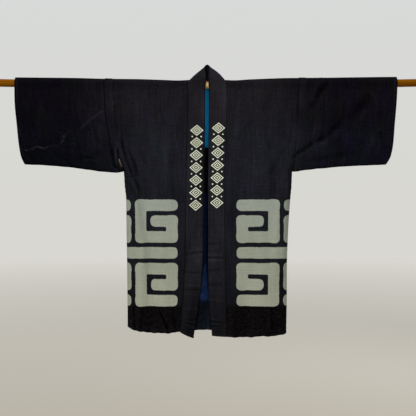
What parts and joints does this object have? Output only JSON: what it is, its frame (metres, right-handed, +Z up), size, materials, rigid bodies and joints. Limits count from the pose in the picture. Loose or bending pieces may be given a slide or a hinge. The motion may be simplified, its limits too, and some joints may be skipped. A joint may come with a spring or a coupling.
{
  "type": "happi coat hung on a round wooden rod",
  "caption": "Straight open-fronted cotton happi coat with wide tube sleeves and a folded collar band, hung by both sleeves on a long round wooden rod.",
  "frame": {"origin": "on the axis of the rod, at the middle of its length, behind the coat's neck", "axes": "+X along the rod toward the wearer's left sleeve, -Y toward the coat's open front, +Z up"},
  "size_m": [1.44, 0.0625, 0.9005],
  "materials": {
    "indigo_cotton": "matt, woven",
    "collar_cotton": "matt, woven",
    "blue_lining": "matt, woven",
    "rod_wood": "smooth, worn varnish"
  },
  "bodies": {
    "root": {"body_right": "indigo_cotton", "body_left": "indigo_cotton", "sleeve_right": "indigo_cotton", "sleeve_left": "indigo_cotton", "collar": "collar_cotton", "shoulder_lining": "blue_lining", "rod": "rod_wood"}
  },
  "joints": []
}
